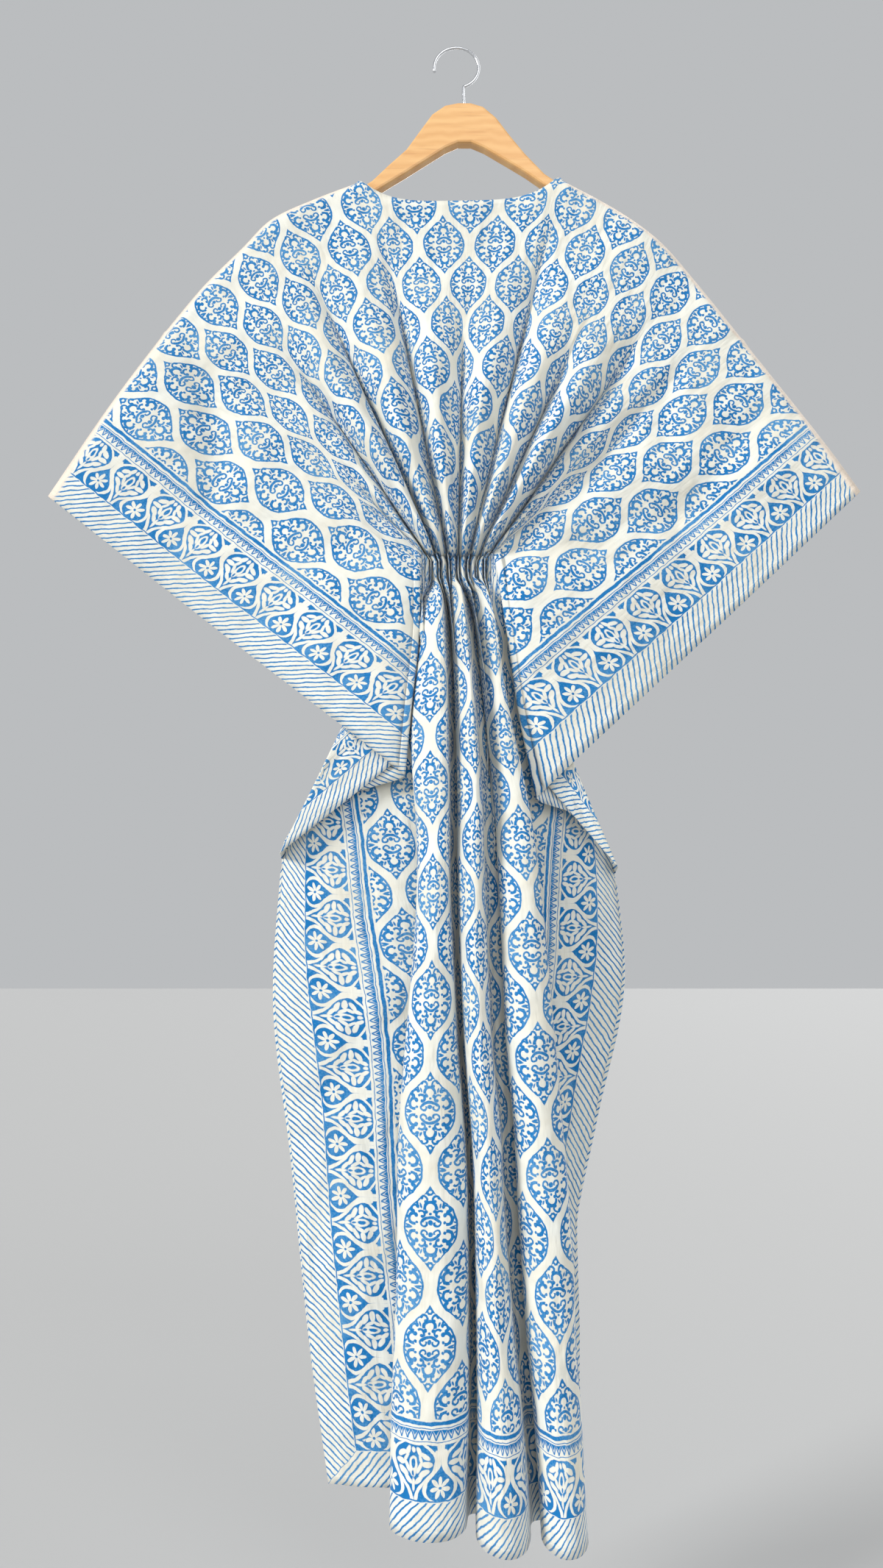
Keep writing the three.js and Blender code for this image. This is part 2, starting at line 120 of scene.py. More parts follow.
SIDE_SWING = {
    "left": table("part out", [(0, 0), (0.25, 19), (0.5, 13), (0.8, 8), (1, 0)]),
    "right": table("part out", [(0, 0), (0.2, 17), (0.42, 0), (0.62, -13), (1, 0)]),
}

# %% The hems, seen from above
BACK_HEM = table("across x y z", [
    (-590, -120, -2, -1473), (-560, -93, -8, -1473), (-500, -40, -12, -1472), (-450, 4, -13, -1474),
    (-425, 14, -15.5, -1476), (-408, 12, -20, -1478), (-350, -32, -26, -1484), (-318, -56, -34, -1487),
    (-304, -62, -44, -1489), (-288, -56, -57, -1490), (-262, -34, -67, -1492), (-236, -10, -66, -1491),
    (-220, 3, -57, -1488), (-206, 6, -42, -1487), (-190, 8, -27, -1488), (-176, 17, -19.5, -1490),
    (-155, 36, -18, -1492), (-146, 39, -21, -1492), (-134, 34, -25, -1493), (-116, 18, -30, -1494),
    (-102, 14, -42, -1496), (-90, 16, -56, -1498), (-76, 25, -68, -1501), (-52, 42, -73, -1503),
    (-30, 56, -66, -1500), (-17, 61, -52, -1495), (-2, 62, -37, -1492), (14, 68, -26, -1493),
    (34, 85, -22.5, -1495), (43, 89, -25.5, -1496), (54, 84, -29.5, -1497), (72, 73, -35, -1497),
    (84, 71, -46, -1498), (98, 75, -59, -1501), (118, 87, -70, -1504), (142, 102, -68, -1503),
    (158, 110, -57, -1499), (174, 111, -42, -1494), (192, 108, -25, -1490), (212, 96, -17.5, -1488),
    (260, 62, -15, -1486), (320, 35, -13.5, -1484), (345, 29, -10.5, -1484), (372, 35, -8, -1483),
    (440, 58, -7, -1482), (530, 84, -6, -1481), (590, 101, -2, -1481)])
FRONT_HEM = table("across x y z", [
    (-590, -120, 2, -1473), (-530, -72, 9, -1474), (-440, -8, 11, -1476), (-420, 1, 13.5, -1478),
    (-400, -8, 17, -1480), (-322, -60, 20, -1484), (-300, -69, 25, -1486), (-278, -60, 31, -1487),
    (-215, -22, 34, -1489), (-184, -6, 28, -1488), (-165, -1, 19, -1487), (-142, 6, 27, -1489),
    (-90, 30, 35, -1491), (-42, 52, 31, -1490), (-12, 60, 20, -1488), (18, 68, 30, -1490),
    (70, 88, 36, -1491), (118, 106, 31, -1490), (140, 110, 24, -1488), (165, 102, 18, -1487),
    (260, 52, 16, -1485), (325, 24, 14, -1484), (347, 17, 11.5, -1483), (372, 24, 9.5, -1483),
    (450, 52, 8.5, -1482), (530, 80, 7.5, -1482), (590, 101, 2, -1481)])

BACK = dict(name="kaftan_back", hem=BACK_HEM, side=-1, body=-17, wing=-35, turned=-22, skirt=-11,
            fold_shift=0, corner_shift=0, stand=44, swell=1.1, pleats_end=0.5, opening=0.33,
            right_flat=0.5, relief=1.3)
FRONT = dict(name="kaftan_front", hem=FRONT_HEM, side=1, body=15, wing=-30.5, turned=-26.5, skirt=10,
             fold_shift=12, corner_shift=6, stand=44, swell=1.2, pleats_end=1.6, opening=0.3,
             right_flat=1, relief=0.5)

# %% Soft folds that fan out from the waist
FAN_FOLDS = table("x0 z0 x1 z1 wide deep", [
    (-70, -228, -16, -560, 15, 9), (-128, -330, -32, -575, 15, 8), (-186, -215, -172, -440, 16, 7),
    (-262, -380, -250, -540, 17, 6), (-200, -480, -60, -566, 13, 6), (110, -205, 24, -560, 14, 9),
    (-300, -330, -222, -500, 12, 5), (-330, -520, -90, -584, 10, 6), (-120, -240, -96, -420, 11, 6),
    (310, -520, 92, -582, 10, 6), (262, -330, 120, -520, 12, 7), (66, -215, 60, -400, 12, 6),
    (175, -370, 50, -560, 15, 7), (222, -260, 216, -470, 14, 6), (318, -440, 214, -560, 17, 6),
    (-210, -590, -45, -590, 9, 7), (205, -592, 48, -590, 9, 7)])
FAN_STARTS, FAN_ENDS = (-0.1, 0.3), (0.85, 1.1)


def relief(x, z):
    """How far the soft folds lift the cloth; each runs from one point to another and fades at its ends."""
    depth = np.zeros_like(x)
    for x0, z0, x1, z1, wide, deep in zip(*FAN_FOLDS.values()):
        long = math.hypot(x1 - x0, z1 - z0)
        along = ((x - x0) * (x1 - x0) + (z - z0) * (z1 - z0)) / long
        away = ((x - x0) * (z1 - z0) - (z - z0) * (x1 - x0)) / long
        ends = ease(*FAN_STARTS, along / long) * (1 - ease(*FAN_ENDS, along / long))
        depth += deep * ends * np.exp(-((away / wide) ** 2))
    return depth

# %% Stations of the threads
FOLD_BLEND = 45
CORNER_AT, CORNER_WIDE = 400, 16
WING_EDGE, FLAP_EDGE, TUCKED = 490, 500, 11
NEST_BACK, NEST_BACK_UNTIL, NEST_FRONT, NEST_FRONT_MORE, NEST_FRONT_FROM = -4, 0.85, 1, 2, 0.75


def drawn_in(out):
    """How much the channel lifts the cloth at the waist: most at the middle."""
    return WAIST_DRAWN * (1 - np.minimum(out / GATHERED, 1) ** DRAWN_POWER)


def top_points(across, layer):
    """Where the threads start, at the shoulder or the neck: x, z and how far down the cut."""
    out = np.abs(across)
    run = np.maximum(out - NECK_HALF, 0)
    part = across / NECK_HALF
    deep, power = (BACK_SCOOP, SCOOP_POWER) if layer["side"] < 0 else (FRONT_VEE, VEE_POWER)
    depth = deep * np.where(np.abs(part) < 1, 1 - np.abs(part) ** power, 0)
    level = [mix(SHOULDER["left"][key][0], SHOULDER["right"][key][0], (part + 1) / 2) for key in "xz"]
    inside = out < NECK_HALF
    x = np.where(inside, level[0], read_side(SHOULDER, "run", "x", run, across))
    z = np.where(inside, level[1] - depth, read_side(SHOULDER, "run", "z", run, across))
    down = np.where(inside, depth, SHOULDER_DROP * run / (HALF_WIDTH - NECK_HALF))
    return np.array([x, z, down])


def first_points(across, layer):
    """Where the threads reach the waist's channel, or the lower edge of the wing beside it."""
    out, sign = np.abs(across), np.sign(across)
    gathered, drawn = out <= GATHERED, drawn_in(out)
    beyond = np.maximum(out, GATHERED)
    x, z, down = (read_side(FIRST_FOLD, "out", key, beyond, across) for key in ("x", "z", "down"))
    corner = layer["corner_shift"] * np.exp(-(((out - CORNER_AT) / CORNER_WIDE) ** 2))
    shift = layer["fold_shift"] * ease(GATHERED, GATHERED + FOLD_BLEND, out) + corner
    x = np.where(gathered, WAIST_HALF * across / GATHERED, x + shift * sign)
    z = z + layer["fold_shift"] * ease(WING_EDGE, HALF_WIDTH, out)
    z, down = np.where(gathered, WAIST_Z - drawn, z), np.where(gathered, WAIST_DOWN + drawn, down)
    return np.array([x, z, down])


def second_points(across, layer):
    """Where the threads leave the channel, or turn down again behind the wing."""
    out, sign = np.abs(across), np.sign(across)
    gathered, drawn = out <= GATHERED, drawn_in(out)
    part = np.clip((out - GATHERED) / (HALF_WIDTH - GATHERED), 0, 1)
    beyond = np.maximum(out, GATHERED)
    x, z = (read_side(SECOND_FOLD, "out", key, beyond, across) for key in "xz")
    if layer["side"] < 0:
        kept = 1 - ease(NEST_BACK_UNTIL, 1, part)
        nested = NEST_BACK * ease(GATHERED, GATHERED + FOLD_BLEND, out) * kept
        z = z + TUCKED * ease(FLAP_EDGE, HALF_WIDTH, out)
    else:
        nested = NEST_FRONT + NEST_FRONT_MORE * ease(NEST_FRONT_FROM, 1, part)
    low = WAIST_DOWN + WAIST_HEIGHT - drawn
    x = np.where(gathered, WAIST_HALF * across / GATHERED, x + nested * sign)
    return np.array([x, np.where(gathered, WAIST_Z - WAIST_HEIGHT + drawn, z), mix(low, ARMHOLE, part)])

# %% [markdown]
# ## Gathers
# Drawn-in cloth keeps its width: it stands in faces of true scale with narrow troughs between them, and
# the troughs hold what the waist leaves no room for. Each trough is a thread number; a thread between
# two of them slides towards the nearer one, and sinks by as much as its slide leaves over.

# %% Gathers between troughs
TROUGHS = table("at strength start", [
    (-380, 0, 0), (-278, 0.8, 0.22), (-193, 1, 0.08), (-88, 1, 0.02), (6, 0.9, 0.25), (108, 1, 0.03),
    (198, 0.8, 0.3), (284, 1, 0.14), (380, 0, 0)])
PLEATS = table("at strength start", [
    (-380, 0, 0), (-340, 0.7, 0.6), (-306, 0.5, 0.7), (-244, 0.6, 0.6), (-218, 0.4, 0.75), (-160, 0.5, 0.65),
    (-128, 0.8, 0.5), (-60, 0.5, 0.6), (-34, 0.8, 0.42), (36, 0.6, 0.5), (66, 0.8, 0.45), (140, 0.6, 0.6),
    (168, 0.5, 0.7), (232, 0.6, 0.62), (256, 0.4, 0.75), (312, 0.6, 0.6), (344, 0.5, 0.7), (380, 0, 0)])
CELL = np.linspace(0, 1, 61)
TIGHTEST, TROUGH_GROWTH, TINY = 0.3, 0.25, 1e-9


def cells(across, troughs, centres):
    """For each thread: the middle of its face, the half width on its side, how far out it lies from 0 to 1,
    and the number of the trough that it lies towards."""
    cell = np.clip(np.searchsorted(troughs, across) - 1, 0, len(centres) - 1)
    middle = centres[cell]
    nearest = np.where(across < middle, cell, cell + 1)
    half = np.abs(troughs[nearest] - middle)
    return middle, half, np.clip(np.abs(across - middle) / half, 0, 1), nearest


def gather(across, folds, part, width_left, deepest):
    """Where each thread shows, as a thread number, and how deep it lies towards the wall."""
    troughs = folds["at"]
    middle, half, out, nearest = cells(across, troughs, (troughs[1:] + troughs[:-1]) / 2)
    strength = (folds["strength"] * ease(folds["start"], folds["start"] + TROUGH_GROWTH, part))[nearest]
    tight = max(width_left, TIGHTEST)
    slide = 1 - (1 - out) ** (1 / tight)
    in_plane = width_left / tight * (1 - CELL) ** (1 / tight - 1)
    climb = np.sqrt(np.clip(1 - in_plane**2, 0, 1))
    sunk = np.concatenate([[0], np.cumsum((climb[1:] + climb[:-1]) / 2) / (len(CELL) - 1)])
    depth = np.interp(out, CELL, sunk) * half
    depth *= np.minimum(1, deepest / (sunk[-1] * half + TINY)) * strength
    return middle + np.sign(across - middle) * half * mix(out, slide, strength), depth


def soften(values, times=2):
    """Each value is averaged with its neighbours; the two ends stay."""
    for _ in range(times):
        middle = (values[:-2] + 2 * values[1:-1] + values[2:]) / 4
        values = np.concatenate([values[:1], middle, values[-1:]])
    return values

# %% The three standing folds of the skirt
SKIRT_TROUGHS = np.array([-590, -408, -155, 40, 345, 590.0])
SKIRT_FACES = np.array([-500, -262, -60, 128, 470.0])
FOLD_EDGES, BESIDE, EDGES_FROM, EDGES_TO = np.array([-304, -206, -2, 174.0]), 20, 0.03, 0.9
SKIRT_EDGES = {
    "left": table("z x", [(-1498, -63), (-1398, -61), (-1284, -57), (-1166, -56), (-976, -41), (-906, -40),
                          (-812, -46), (-739, -43), (-680, -38), (-614, -29.6)]),
    "first": table("z x", [(-1475, 7), (-1407, 8), (-1246, 8), (-1181, 6), (-1091, -1), (-951, -8),
                           (-856, -9), (-740, -12), (-614, -20)]),
    "second": table("z x", [(-1504, 64), (-1387, 55), (-1328, 49), (-1224, 41), (-1158, 38), (-1091, 31),
                            (-1021, 28), (-927, 25), (-856, 23), (-740, 14), (-614, 0)]),
    "right": table("z x", [(-1473, 111), (-1416, 108), (-1339, 104), (-1261, 102), (-1120, 92), (-905, 73),
                           (-760, 46), (-690, 36), (-614, 17)]),
}


def stand_out(x, level, part, shown):
    """Moves the skirt's folds sideways to where they show at each height."""
    edges = np.interp(FOLD_EDGES, shown, x)
    wanted = [float(read(SKIRT_EDGES[name], "z", "x", level))
              for name in ("left", "first", "second", "right")]
    blend = float(ease(0, EDGES_FROM, part) * (1 - ease(EDGES_TO, 1, part)))
    left = min(x[0], edges[0] - BESIDE, wanted[0] - BESIDE)
    right = max(x[-1], edges[-1] + BESIDE, wanted[-1] + BESIDE)
    moved = np.interp(x, [left, *edges, right], [left, *wanted, right])
    return mix(x, moved, blend)

# %% All threads of a panel, row by row
UPPER_STEPS, FOLD_STEPS, TURNED_STEPS, SKIRT_STEPS = 70, 9, 4, 75
FOLD_REACH, SHORTEST, TURN_HALF, TURNED_PARTS = 8, 24, 0.3, (0.38, 0.62)
PINCH, PINCH_REACH = 0.56, 0.04
CLOSING, CLOSED = 16, 0.88
BODY_STAND, BODY_BULGE, SEAM_REACH = 10.5, 3, 9


def fold_rows(before, fold, after, y_before, y_after, settle=lambda y, away: y):
    """Close rows round a fold, from one layer's depth to the next one's."""
    rows = []
    for turn in np.linspace(-1, 1, FOLD_STEPS):
        towards = before if turn < 0 else after
        long = np.maximum(np.hypot(towards[0] - fold[0], towards[1] - fold[1]), SHORTEST)
        place = mix(fold, towards, abs(turn) * FOLD_REACH / long)
        near, far = (settle(y, abs(turn) * FOLD_REACH) for y in (y_before, y_after))
        rows.append((place, mix(near, far, float(ease(-TURN_HALF, TURN_HALF, turn)))))
    return rows


def stations(across, layer):
    """The three places of each thread: where it starts, and its first and second fold."""
    return [points(across, layer) for points in (top_points, first_points, second_points)]


def closed_edge(layer, y, away):
    """Depth of a layer beside its folded edge, where the two layers of the fold close up."""
    middle = (layer["wing"] + layer["turned"]) / 2
    return mix(y, middle, CLOSED * np.exp(-((away / CLOSING) ** 2)))


def pinched(away):
    """How much of its depth a gathered fold keeps near the channel."""
    return 1 - PINCH * math.exp(-((away / PINCH_REACH) ** 2))


def in_gathers(out):
    """1 on the threads that the waist gathers, 0 outside them."""
    return 1 - ease(GATHERED - FOLD_BLEND, GATHERED, out)


def in_wings(out):
    """1 on the threads that fold under beside the gathers."""
    return ease(GATHERED, GATHERED + FOLD_BLEND, out)

# %% Above the waist
STAND_FROM, STAND_TO = 0.06, 0.75
ROOM_TOP, ROOM_LOW, ROOM_FROM, ROOM_TO = 8, 3.5, 0.15, 0.35
WIDTH_LOST, SMALL_SHARE, SMALL_AT_WAIST, SMALL_FADES = 0.92, 0.6, 0.18, 0.82
LEVEL_OUT, LEVEL_IN = 130, 10
SLEEVE_FROM, SLEEVE_GAP = 480, 2.5
SINK_FROM, SOFT_FROM, SOFT_TO = 0.35, 10, 60


def gathered_depth(across, layer, part):
    """Where each thread shows, how deep its fold is, and how far the gathers stand out, on one row."""
    stand = mix(BODY_STAND, layer["stand"], float(ease(STAND_FROM, STAND_TO, part)))
    deepest = stand - mix(ROOM_TOP, ROOM_LOW, float(ease(ROOM_FROM, ROOM_TO, part)))
    width_left = 1 - WIDTH_LOST * part
    shown, depth = gather(across, TROUGHS, part, width_left, deepest)
    small_share = mix(SMALL_SHARE, SMALL_AT_WAIST, float(ease(SMALL_FADES, 1, part)))
    _, small = gather(across, PLEATS, part, width_left, small_share * deepest)
    inside = in_gathers(np.abs(across))
    depth = np.maximum(depth, np.minimum(depth + small, deepest)) * inside
    return mix(across, shown, inside), depth, stand


def upper_row(across, layer, part):
    """One row of the part above the waist."""
    out, side, sink = np.abs(across), layer["side"], float(ease(SINK_FROM, 1, part))
    shown, depth, stand = gathered_depth(across, layer, part)
    top, first, _ = stations(shown, layer)
    place = mix(top, first, part)
    level = np.hypot(place[0] - top[0], place[1] - top[1])
    seam = np.where(out < NECK_HALF, BODY_STAND, SEAM_Y)
    beside = mix(BODY_STAND + BODY_BULGE * math.sin(math.pi * part), abs(layer["body"]), sink)
    middle = stand * pinched(1 - part)
    apart = mix(beside, middle, 1 - ease(GATHERED - LEVEL_OUT, GATHERED - LEVEL_IN, out))
    apart = mix(apart, SLEEVE_GAP, ease(SLEEVE_FROM, HALF_WIDTH, out))
    apart = mix(seam, apart, ease(0, SEAM_REACH, level))
    soft = relief(place[0], place[1]) * layer["relief"] * ease(SOFT_FROM, SOFT_TO, level)
    soft = soft * (1 - in_gathers(out))
    to_fold = (1 - part) * np.hypot(top[0] - first[0], top[1] - first[1])
    wing = closed_edge(layer, layer["wing"], to_fold)
    return place, mix(side * apart, wing, sink * in_wings(out)) - side * depth + soft

# %% Below the waist
FACES_TIGHT, FACES_POWER, FACES_BLEND = 0.28, 0.8, 0.05
SPREAD, SPREAD_FROM, SPREAD_TO = 0.6, 400, 480
SIDE_FROM, SIDE_TO, SIDE_SCALE, SIDE_GROWN = 405, 460, 0.97, 0.25
SWING_FROM, FIRST_PART, SEWN_EDGE = 430, 0.015, 26


def skirt_threads(across, waist_shown, part):
    """Which thread shows at each place: gathered at the waist, in three standing folds below."""
    middle, half, away, _ = cells(across, SKIRT_TROUGHS, SKIRT_FACES)
    loose = mix(FACES_TIGHT, 1, part**FACES_POWER)
    slid = middle + np.sign(across - middle) * half * (1 - (1 - away) ** (1 / loose))
    faces = mix(across, slid, in_gathers(np.abs(across)))
    return mix(waist_shown, faces, float(ease(0, FACES_BLEND, part)))


def skirt_across(across, layer, part, shown, straight, hem_x):
    """Where the threads of a row lie from left to right."""
    out, left = np.abs(across), across < 0
    outer = ease(SWING_FROM, HALF_WIDTH, out) * np.sign(across)
    swing = read_side(SIDE_SWING, "part", "out", np.full_like(across, part), across)
    x = mix(straight, hem_x, part ** mix(SPREAD, 1, ease(SPREAD_FROM, SPREAD_TO, out))) + swing * outer
    inwards = across + np.where(left, HALF_WIDTH, -HALF_WIDTH)
    flat = np.where(left, x[0], x[-1]) + inwards * SIDE_SCALE
    share = ease(SIDE_FROM, SIDE_TO, out) * float(ease(0, SIDE_GROWN, part))
    return mix(x, flat, share * np.where(left, 1, layer["right_flat"]))


def skirt_row(across, layer, part, waist_shown, skirt):
    """One row of the skirt, a part of the way from the waist to the hem."""
    side, inside = layer["side"], in_gathers(np.abs(across))
    shown = skirt_threads(across, waist_shown, part)
    second = second_points(shown, layer)
    hem_x, hem_y, hem_z = (read(layer["hem"], "across", key, shown) for key in "xyz")
    z = mix(second[1], hem_z, part)
    x = skirt_across(across, layer, part, shown, second[0], hem_x)
    x = stand_out(x, float(np.mean(z)), part, shown)
    down = mix(second_points(across, layer)[2], LENGTH, part)
    stand = side * layer["stand"] * pinched(part)
    level = mix(mix(stand, skirt, 1 - inside), hem_y * layer["swell"], part ** layer["opening"])
    kept = inside * (1 - float(ease(0, layer["pleats_end"], part)))
    y = level + (skirt - side * layer["stand"] * (1 - PINCH)) * kept
    sewn = ease(HALF_WIDTH - SEWN_EDGE, HALF_WIDTH, np.abs(across))
    return np.array([x, z, down]), mix(y, side * SEAM_Y, sewn)

# %% The whole drape
BEFORE_PART, AFTER_PART, AFTER_DOWN, SEWN_FROM, SEWN_TO = 0.9, 0.1, 80, 0.3, 0.7


def drape(across, layer):
    """Rows of (x, y, z, down), each an array over the threads, in millimetres."""
    out, side, share = np.abs(across), layer["side"], in_wings(np.abs(across))
    rows = [upper_row(across, layer, part) for part in np.linspace(0, 1, UPPER_STEPS, endpoint=False)]
    _, waist_y = upper_row(across, layer, 1.0)
    waist_shown, _ = gather(across, TROUGHS, 1, 1 - WIDTH_LOST, layer["stand"])
    waist_shown = mix(across, waist_shown, in_gathers(out))
    top, first, second = stations(waist_shown, layer)
    pleat = mix(waist_y, layer["body"], share)
    wing, turned, skirt = (mix(pleat, layer[name], share) for name in ("wing", "turned", "skirt"))
    before = mix(top, first, BEFORE_PART)
    rows += fold_rows(before, first, second, wing, turned,
                      lambda y, away: mix(y, closed_edge(layer, y, away), share))
    tucked = TUCKED * ease(FLAP_EDGE, HALF_WIDTH, out) * (side < 0)
    for part in np.linspace(*TURNED_PARTS, TURNED_STEPS):
        rows.append((mix(first, second, part) + np.array([0 * out, tucked, 0 * out]), turned))
    edge = ease(HALF_WIDTH - SEWN_EDGE, HALF_WIDTH, out)
    hem_x, hem_z = (read(layer["hem"], "across", key, across) for key in "xz")
    after = np.array([mix(second[0], hem_x, AFTER_PART), mix(second[1], hem_z, AFTER_PART),
                      second[2] + AFTER_DOWN])
    for index, (place, y) in enumerate(fold_rows(first, second, after, turned, skirt)):
        sewn = edge * ease(SEWN_FROM, SEWN_TO, index / (FOLD_STEPS - 1))
        rows.append((place, mix(y, side * SEAM_Y, sewn)))
    for part in np.linspace(0, 1, SKIRT_STEPS + 1)[1:]:
        rows.append(skirt_row(across, layer, mix(FIRST_PART, 1, part), waist_shown, skirt))
    return [(soften(place[0]), soften(y), place[1], place[2]) for place, y in rows]

# %% [markdown]
# ## The cloth panels
# A grid is the flat cloth. Each of its corners is moved to where its thread hangs, and its place on the
# flat cloth stays in the UV map, so that the print follows every fold. Solidify makes it a thin wall.

# %% Panels from grids
UV_SPAN, CLOTH_THICK = 1400, 0.7
THREADS_OUT, THREADS_IN = 25, 240


def thread_places():
    """The threads that the grid follows: closer together where the cloth is gathered."""
    outer = np.linspace(HALF_WIDTH, GATHERED, THREADS_OUT, endpoint=False)
    return np.concatenate([-outer, np.linspace(-GATHERED, GATHERED, THREADS_IN), outer[::-1]])


def flat_area(layer):
    """Area of a panel as it is cut, in square metres."""
    across = thread_places()
    lengths = LENGTH - top_points(across, layer)[2]
    return float(np.sum((lengths[1:] + lengths[:-1]) / 2 * np.diff(across))) * MM * MM


def cloth_panel(layer):
    """A panel's mesh: each corner of a flat grid goes to its place in the drape."""
    across = thread_places()
    rows = drape(across, layer)
    mesh = bpy.data.meshes.new(layer["name"])
    bm = bmesh.new()
    bmesh.ops.create_grid(bm, x_segments=len(across) - 1, y_segments=len(rows) - 1, size=0.5)
    uv = bm.loops.layers.uv.new("cloth")
    for vert in bm.verts:
        column = round((vert.co.x + 0.5) * (len(across) - 1))
        row = round((0.5 - vert.co.y) * (len(rows) - 1))
        x, y, z, down = (values[column] for values in rows[row])
        flat = ((HALF_WIDTH - layer["side"] * across[column]) / UV_SPAN, down / UV_SPAN)
        for loop in vert.link_loops:
            loop[uv].uv = flat
        vert.co = Vector((x, y, z)) * MM
    if layer["side"] > 0:
        bmesh.ops.reverse_faces(bm, faces=bm.faces)
    for face in bm.faces:
        face.smooth = True
    print(layer["name"], "cloth area", round(sum(face.calc_area() for face in bm.faces), 3), "m2")
    bm.to_mesh(mesh)
    bm.free()
    piece = bpy.data.objects.new(layer["name"], mesh)
    SCENE.collection.objects.link(piece)
    solid = piece.modifiers.new("thickness", "SOLIDIFY")
    solid.thickness, solid.offset = CLOTH_THICK * MM, 0
    return piece


back_panel, front_panel = cloth_panel(BACK), cloth_panel(FRONT)
for piece, layer, node in ((back_panel, BACK, "back_panel"), (front_panel, FRONT, "front_panel")):
    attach(piece, "root")
    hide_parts(node)
    round(flat_area(layer), 3)
    print(piece.name, len(piece.data.vertices), "corners, flat area", round(flat_area(layer), 3), "m2")

# %% [markdown]
# ## Finishes
# Every finish is a small sum of shapes. One helper class wraps a node's socket, so that shader maths
# reads as plain arithmetic, and one method makes every other kind of node.

# %% Shader maths
class Wire:
    """A socket of a material's node tree that can be added, multiplied and joined to nodes."""

    def __init__(self, tree, socket=None):
        self.tree, self.socket = tree, socket

    def node(self, kind, settings, sockets, output=0):
        """One output of a new node, with its settings made and its inputs set or joined."""
        made = self.tree.nodes.new(kind)
        for name, value in settings.items():
            if name == "curve":
                line = made.mapping.curves[0]
                while len(line.points) < len(value):
                    line.points.new(0.5, 0.5)
                for point, place in zip(line.points, value):
                    point.location = place
                made.mapping.update()
            else:
                setattr(made, name, value)
        for key, value in sockets.items():
            if isinstance(value, Wire):
                self.tree.links.new(value.socket, made.inputs[key])
            else:
                made.inputs[key].default_value = value
        return Wire(self.tree, made.outputs[output])

    def math(self, operation, *values, clamp=False):
        settings = {"operation": operation, "use_clamp": clamp}
        return self.node("ShaderNodeMath", settings, dict(enumerate(values)))

    def vector(self, operation, *values, output=0):
        sockets = dict(enumerate(values))
        return self.node("ShaderNodeVectorMath", {"operation": operation}, sockets, output)

    def scaled(self, factor):
        """This vector, times a number."""
        return self.node("ShaderNodeVectorMath", {"operation": "SCALE"}, {0: self, "Scale": factor})

    def parts(self):
        """The first two parts of this vector."""
        return [self.node("ShaderNodeSeparateXYZ", {}, {0: self}, at) for at in (0, 1)]

    def away(self, x, y):
        """Distance of this place from a point."""
        return self.vector("DISTANCE", self, (x, y, 0), output=1)

    def blend(self, low, high):
        """A colour between two, by this mask."""
        return self.node("ShaderNodeMix", {"data_type": "RGBA"}, {0: self, 6: low, 7: high}, 2)

    def __add__(self, other):
        return self.math("ADD", self, other)

    def __sub__(self, other):
        return self.math("SUBTRACT", self, other)

    def __rsub__(self, other):
        return self.math("SUBTRACT", other, self)

    def __mul__(self, other):
        return self.math("MULTIPLY", self, other)

    def __truediv__(self, other):
        return self.math("DIVIDE", self, other)

    def __abs__(self):
        return self.math("ABSOLUTE", self)

    __radd__, __rmul__ = __add__, __mul__

    def least(self, other):
        return self.math("MINIMUM", self, other)

    def most(self, other):
        return self.math("MAXIMUM", self, other)

    def over(self, edge):
        return self.math("GREATER_THAN", self, edge)

    def folded(self, period):
        """Distance to the nearest multiple of a period."""
        return abs(self.math("WRAP", self, period / 2, -period / 2))

    def mask(self, soft=0.5):
        """1 where a distance is below zero, 0 above, with a soft edge."""
        return self.math("MULTIPLY_ADD", self, -1 / soft, 0.5, clamp=True)

    def curve(self, points, across, up):
        """A smooth curve through points, as a function of this value."""
        scaled = [(x / across, y / up) for x, y in points]
        return self.node("ShaderNodeFloatCurve", {"curve": scaled}, {"Value": self / across}) * up


def linear(red, green, blue):
    """An sRGB colour, 0 to 255, as Blender's linear values."""
    return tuple(((v / 255 + 0.055) / 1.055) ** 2.4 if v > 10 else v / 3295 for v in (red, green, blue))


def finish(name, constants):
    """A new material, its first wire and its shader."""
    material = bpy.data.materials.new(name)
    material.use_nodes = True
    shader = material.node_tree.nodes["Principled BSDF"]
    for key, value in constants.items():
        shader.inputs[key].default_value = value
    return material, Wire(material.node_tree), shader


def connect(wire, shader, name):
    wire.tree.links.new(wire.socket, shader.inputs[name])

# %% [markdown]
# ## The block print
# The field is an ogee lattice: a lemon-shaped medallion every 60 mm across and 100 mm down, with a second
# set half a step on. A quarter of one medallion is drawn, as distances to arcs, discs and leaves, and
# folding the coordinates repeats it. The border runs along the sides and the hem, and its two cells, a
# small flower and a large palmette, come from two curves. Noise shakes the lines a little and lets the
# blue fade in places, as a hand-held block does.

# %% Shapes of the medallion, in millimetres from its middle
PERIOD_ACROSS, PERIOD_DOWN, SHIFT_ACROSS, SHIFT_DOWN = 60, 100, 12, 34
MEDALLION_SPAN = 40
MEDALLION = [(0, 24.1), (7, 23.3), (13, 20.9), (18, 17.1), (22.5, 12.4), (27, 7.9), (31.5, 4.1), (37, 0)]
ARCS = table("x y radius half cut_x cut_y cut", [
    (0, 0, 9.2, 1.3, 0, -1, -5), (0, 17.6, 4.9, 1.4, 0, -1, 1.5), (14.6, 7.4, 4.4, 1.4, -1, 0, 1.6),
    (7.6, 12.2, 3.0, 1.0, 0.7, -0.7, 0.6), (13.2, 16.0, 3.1, 1.0, -0.8, -0.6, 0.8),
    (5.2, 24.6, 2.9, 1.0, 0.3, -1, 1.0), (5.6, 4.4, 2.6, 0.9, 0, 1, 1.1)])
